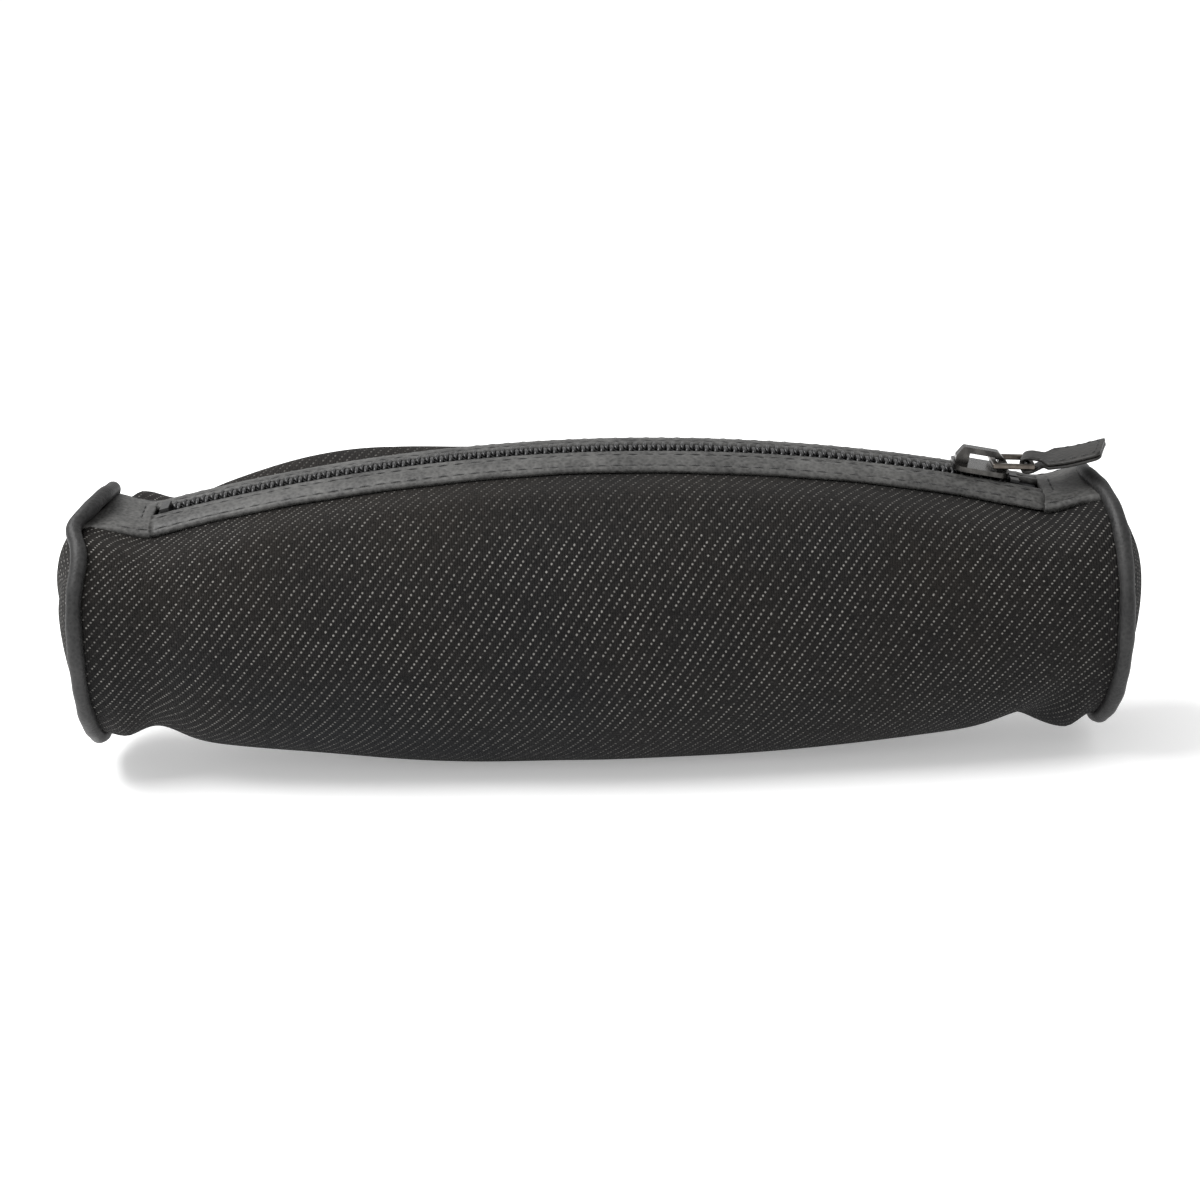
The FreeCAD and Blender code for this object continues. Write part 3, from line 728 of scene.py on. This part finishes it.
def make_facing_strip(name, sign, node):
    profile = facing_profile(WINDOW_HALF, FACING_HALF)
    xs = np.linspace(-81.0, 81.0, 163)
    points = np.zeros((len(xs), len(profile), 3))
    for i, x in enumerate(xs):
        for j, (y, level) in enumerate(profile):
            ripple = 0.05 * math.sin(x * 2.2 + 3 * math.sin(x * 0.3)) * bell(y, 4.65, 0.9)
            wander = 0.12 * math.sin(x * 0.11 + sign) + 0.06 * math.sin(x * 0.37)
            points[i, j] = band_point(x, sign * (y + wander * smooth((y - 3.2) / 2)), level + ripple)
    vertices = points.reshape(-1, 3)
    columns = len(profile)
    faces = grid_faces(len(xs), columns, closed=True)
    faces.append(tuple(range(columns)))
    faces.append(tuple((len(xs) - 1) * columns + j for j in range(columns))[::-1])
    piece = recalc(new_object(name, vertices, faces))
    finish_piece(piece, LEATHER_MAT, [node])
    return piece


def make_facing_end(side, name, node):
    """Solid leather from the window's end to the piping."""
    start, count = BAND_END + 0.9, 22
    height = float(band_height(86.0))
    half_points = np.linspace(-FACING_HALF, FACING_HALF, 41)
    top = np.zeros((count, len(half_points), 3))
    for i in range(count):
        for j, y in enumerate(half_points):
            end = seam_x(side, wrap(-math.atan2(y, height))) + 0.6
            x = start + (end - start) * i / (count - 1)
            edge = FACING_HALF - abs(y)
            round_off = 0.45 * (1 - min(1.0, edge / 0.5)) ** 2
            seam = 0.16 * bell(edge, 0.95, 0.3)
            if i < 3 and abs(y) <= WINDOW_HALF:
                round_off += 0.2 * (3 - i) / 3
            cross = 0.16 * bell(x, start + 2.0, 0.35) * (abs(y) < 4.9)
            top[i, j] = band_point(side * x, y, LEATHER - round_off - seam - cross)
    if side < 0:
        top = top[::-1]
    bottom = top.copy()
    bottom[..., 2] -= LEATHER - 0.15
    vertices = np.concatenate([top.reshape(-1, 3), bottom.reshape(-1, 3)])
    piece = recalc(new_object(name, vertices, shell_faces(count, len(half_points))))
    finish_piece(piece, LEATHER_MAT, [node])
    return piece


def make_tape(sign, name, nodes):
    xs = np.linspace(-80.6, 80.6, 163)
    ys = (0.5, 2.0, 4.0, 6.2)
    points = np.array([[band_point(x, sign * y, 0.12) for y in ys] for x in xs])
    if sign < 0:
        points = points[:, ::-1]
    piece = recalc(thick_sheet(name, points, 0.5))
    finish_piece(piece, TAPE, nodes)
    return piece


COIL_LEFT, COIL_RIGHT = -77.5, 74.8


def make_coil(sign, name, nodes):
    """One nylon monofilament wound into flattened turns, its heads reaching past the centre."""
    turns = int((COIL_RIGHT - COIL_LEFT) / COIL_PITCH)
    steps = 20
    wire = 0.36
    phase = 0.0 if sign > 0 else 0.5
    path, up = [], []
    for k in range(turns * steps):
        turn = TAU * k / steps
        x = COIL_LEFT + (k / steps + phase) * COIL_PITCH
        c, s = math.cos(turn), math.sin(turn)
        across = math.copysign(abs(c) ** 0.7, c)
        rise = math.copysign(abs(s) ** 0.8, s)
        x += 0.2 * COIL_PITCH * across
        y = 1.02 + 1.32 * across
        path.append(band_point(min(x, COIL_RIGHT), sign * y, 0.82 + 0.42 * rise))
        up.append((1.0, 0.0, 0.0))
    piece = recalc(tube_mesh(name, path, wire, 8, False, np.array(up)))
    finish_piece(piece, NYLON, nodes)
    return piece


for sign, side in ((-1, "front"), (1, "rear")):
    lens_blend(make_facing_strip(f"{side}_leather_facing", sign, f"{side}_facing"))
    lens_blend(make_tape(sign, f"{side}_tape", [f"{side}_zip_tape"]))
    lens_blend(make_coil(sign, f"{side}_coil", [f"{side}_zip_coil"]))
lens_blend(front_denim)
lens_blend(rear_denim)
lens_blend(front_lining)
lens_blend(rear_lining)
for side, label in ((-1, "left"), (1, "right")):
    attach(make_facing_end(side, f"{label}_leather_end", f"{label}_facing_end"), "base")


# ---------------------------------------------------------------- stitching


def stitch_mesh(name, stitches):
    """Short raised threads, each from a start to an end with a small arch between."""
    vertices, faces = [], []
    rings, sides = 5, 6
    for start, end, up in stitches:
        start, end, up = np.array(start), np.array(end), np.array(up, float)
        along = end - start
        side = np.cross(along, up)
        side /= np.linalg.norm(side)
        base = len(vertices)
        for i in range(rings):
            share = i / (rings - 1)
            middle = start + along * share + up * (0.13 * math.sin(math.pi * share) - 0.06)
            radius = 0.15 * (0.55 + 0.45 * math.sin(math.pi * share))
            for k in range(sides):
                turn = TAU * k / sides
                vertices.append(middle + radius * (math.cos(turn) * side + math.sin(turn) * up))
        faces += grid_faces(rings, sides, base, closed=True)
        faces.append(tuple(base + k for k in range(sides)))
        faces.append(tuple(base + (rings - 1) * sides + k for k in range(sides))[::-1])
    return recalc(new_object(name, np.array(vertices), faces))


STITCH, STITCH_GAP = 2.1, 0.75


def seam_along_x(sign, y, low, high, level):
    stitches = []
    x = low
    while x + STITCH <= high:
        start = band_point(x, sign * y, level)
        end = band_point(x + STITCH, sign * y, level)
        stitches.append((start, end, (0, 0, 1)))
        x += STITCH + STITCH_GAP
    return stitches


for sign, side in ((-1, "front"), (1, "rear")):
    wall_stitches = []
    for y in (4.65, 8.45):
        wall_stitches += seam_along_x(sign, y, -BAND_END, BAND_END, THREAD_LEVEL)
    seams = stitch_mesh(f"{side}_facing_thread", wall_stitches)
    finish_piece(seams, THREAD, [f"{side}_facing_stitching"])
    lens_blend(seams)


def end_seam(side):
    stitches = []
    for sign in (-1, 1):
        x = 81.4
        while x + STITCH < 88.5:
            stitches.append((band_point(side * x, sign * 8.4, THREAD_LEVEL),
                             band_point(side * (x + STITCH), sign * 8.4, THREAD_LEVEL),
                             (0, 0, 1)))
            x += STITCH + STITCH_GAP
    for y in (-3.6, -0.9, 1.8):
        stitches.append((band_point(side * 82.9, y, LEATHER - 0.08),
                         band_point(side * 82.9, y + 1.9, LEATHER - 0.08), (0, 0, 1)))
    return stitches


for side, label in ((-1, "left"), (1, "right")):
    seams = stitch_mesh(f"{label}_end_thread", end_seam(side))
    finish_piece(seams, THREAD, [f"{label}_facing_stitching"])
    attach(seams, "base")

# ---------------------------------------------------------------- slider, ring and pull tab


def paint(node, material):
    mesh = frame["nodes"][node].data
    mesh.materials.clear()
    mesh.materials.append(material)


def soften(node, width, segments=3):
    bevel = frame["nodes"][node].modifiers.new("soft_edges", "BEVEL")
    bevel.width = width * MM
    bevel.segments = segments
    bevel.limit_method = "ANGLE"
    bevel.angle_limit = math.radians(30)
    bevel.harden_normals = False


for node in ("slider_body", "slider_bridge"):
    paint(node, GUNMETAL)
paint("pull_ring", BRONZE)
for node in ("top_stops", "bottom_stop"):
    paint(node, NYLON)
soften("slider_body", 0.22)
soften("slider_bridge", 0.4, 4)


def rounded(points, times):
    """Corner cutting that turns a bent line into a smooth one."""
    points = np.array(points, float)
    for _ in range(times):
        near = 0.75 * points[:-1] + 0.25 * points[1:]
        far = 0.25 * points[:-1] + 0.75 * points[1:]
        points = np.concatenate([points[:1], np.stack([near, far], 1).reshape(-1, 2), points[-1:]])
    return points


TAB_END, TAB_HALF, LOOP_HALF, TAB_LAYER = 13.6, 5.0, 2.35, 0.66
TAB_LIFT, TAB_YAW = math.radians(10.0), math.radians(-15.0)
tab_joint = next(joint for joint in frame["joints"] if joint["name"] == "tab_swing")
TAB_ORIGIN = np.array(tab_joint["pos_m"]) / MM


def tab_half_width(s):
    wide = LOOP_HALF + (TAB_HALF - LOOP_HALF) * float(smooth((s - 2.2) / 1.9))
    tip = max(0.0, s - (TAB_END - 1.1)) / 1.1
    return wide - 1.1 * (1 - math.sqrt(max(0.0, 1 - tip * tip)))


def tab_place(s, y, z):
    """From the pull's own flat frame to where it lies: lifted, turned a little and curled."""
    z = z + 0.006 * s * s - 0.012 * y * y * smooth((s - 3) / 5)
    cos, sin = math.cos(TAB_YAW), math.sin(TAB_YAW)
    x, y = s * cos - y * sin, s * sin + y * cos
    cos, sin = math.cos(TAB_LIFT), math.sin(TAB_LIFT)
    return TAB_ORIGIN + np.array((x * cos - z * sin, y, x * sin + z * cos))


def make_tab():
    half = TAB_LAYER / 2 + 0.03
    loop = 1.22
    under = [(TAB_END, -half), (9.0, -half), (4.6, -half), (3.2, -half), (1.4, -0.95),
             (0.2, -loop - 0.15), (-loop, -loop)]
    line = under + [(-loop - 0.15, 0.0)] + [(s, -z) for s, z in reversed(under)]
    path = rounded(line, 3)
    lengths = np.linspace(0, len(path) - 1, 110)
    path = np.stack([np.interp(lengths, range(len(path)), path[:, k]) for k in (0, 1)], 1)
    tangent = np.gradient(path, axis=0)
    tangent /= np.linalg.norm(tangent, axis=1, keepdims=True)
    normal = np.stack([-tangent[:, 1], tangent[:, 0]], 1)
    across = np.sin(np.linspace(-math.pi / 2, math.pi / 2, 33))
    outer = np.zeros((len(path), len(across), 3))
    inner = np.zeros_like(outer)
    for i, (s, z) in enumerate(path):
        width = tab_half_width(max(0.0, s))
        for j, share in enumerate(across):
            edge = width * (1 - abs(share))
            thin = 0.2 * (1 - min(1.0, edge / 0.35)) ** 2
            groove = 0.09 * float(bell(edge, 0.95, 0.22)) * (s > 3.4)
            reach = TAB_LAYER / 2 - thin - groove
            along, up = normal[i] * -reach
            outer[i, j] = tab_place(s + along, width * share, z + up)
            along, up = normal[i] * (TAB_LAYER / 2 - thin)
            inner[i, j] = tab_place(s + along, width * share, z + up)
    vertices = np.concatenate([outer.reshape(-1, 3), inner.reshape(-1, 3)])
    tab = recalc(new_object("leather_pull", vertices, shell_faces(*outer.shape[:2])))
    finish_piece(tab, TAB_MAT, ["pull_tab"])
    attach(tab, "pull_tab")


def make_tab_thread():
    """Seam round the pull's two sides and end, on both faces."""
    stitches = []
    for face in (1, -1):
        level = face * TAB_LAYER
        corner = [(3.6, TAB_HALF - 1.5), (4.6, TAB_HALF - 0.95), (TAB_END - 0.95, TAB_HALF - 0.95)]
        outline = corner + [(s, -y) for s, y in reversed(corner)]
        steps = [np.hypot(b[0] - a[0], b[1] - a[1]) for a, b in zip(outline, outline[1:])]
        total, reach = sum(steps), np.concatenate([[0], np.cumsum(steps)])
        count = int(total / 2.0)
        for k in range(count):
            ends = []
            for at in ((k + 0.12) * total / count, (k + 0.85) * total / count):
                s = np.interp(at, reach, [p[0] for p in outline])
                y = np.interp(at, reach, [p[1] for p in outline])
                ends.append(tab_place(s, y, level))
            stitches.append((ends[0], ends[1], (0, 0, face)))
    seams = stitch_mesh("pull_thread", stitches)
    finish_piece(seams, THREAD, ["pull_tab_stitching"])
    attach(seams, "pull_tab")


make_tab()
make_tab_thread()
for label in ("left", "right"):
    for part in ("tape", "coil"):
        end_node = f"{label}_zip_{part}_end"
        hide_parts(end_node)

# ---------------------------------------------------------------- stage, light and camera


def make_floor():
    bpy.ops.mesh.primitive_plane_add(size=6.0, location=(0, 0.6, 0))
    floor = bpy.context.active_object
    floor.name = "floor"
    floor.data.materials.append(pale_material("pale_floor", (0.9, 0.9, 0.9), 0.8))


def add_area(name, place, aim, power, width, height):
    light = bpy.data.lights.new(name, "AREA")
    light.energy = power
    light.shape = "RECTANGLE"
    light.size, light.size_y = width, height
    obj = bpy.data.objects.new(name, light)
    obj.location = place
    obj.rotation_euler = (Vector(aim) - Vector(place)).to_track_quat("-Z", "Y").to_euler()
    bpy.context.scene.collection.objects.link(obj)
    return obj


def make_lights():
    world = bpy.context.scene.world or bpy.data.worlds.new("world")
    bpy.context.scene.world = world
    world.use_nodes = True
    background = world.node_tree.nodes["Background"]
    background.inputs["Color"].default_value = (1, 1, 1, 1)
    background.inputs["Strength"].default_value = 0.72
    add_area("top_softbox", (-0.4, -0.05, 0.7), (0, 0, 0.03), 9.0, 0.8, 0.4)
    add_area("front_softbox", (-0.2, -0.9, 0.45), (0, 0, 0.03), 1.5, 0.8, 0.5)


def make_camera():
    """Level with the case's length, a little above it, and turned with its lean."""
    camera = bpy.data.cameras.new("camera")
    obj = bpy.data.objects.new("camera", camera)
    bpy.context.scene.collection.objects.link(obj)
    elevation, distance = math.radians(17.0), 0.62
    aim = Vector((0, 0, AXIS * MM))
    obj.location = aim + distance * Vector((0, -math.cos(elevation), math.sin(elevation)))
    look = (aim - obj.location).to_track_quat("-Z", "Y")
    obj.rotation_euler = (look.to_matrix() @ Matrix.Rotation(math.radians(-1.72), 3, "Z")).to_euler()
    camera.sensor_width = 36.0
    camera.lens = 36.0 * distance / (1200 * 0.185 * MM)
    camera.clip_start = 0.01
    bpy.context.scene.camera = obj
    scene = bpy.context.scene
    scene.view_settings.view_transform = "Standard"


make_floor()
make_lights()
make_camera()
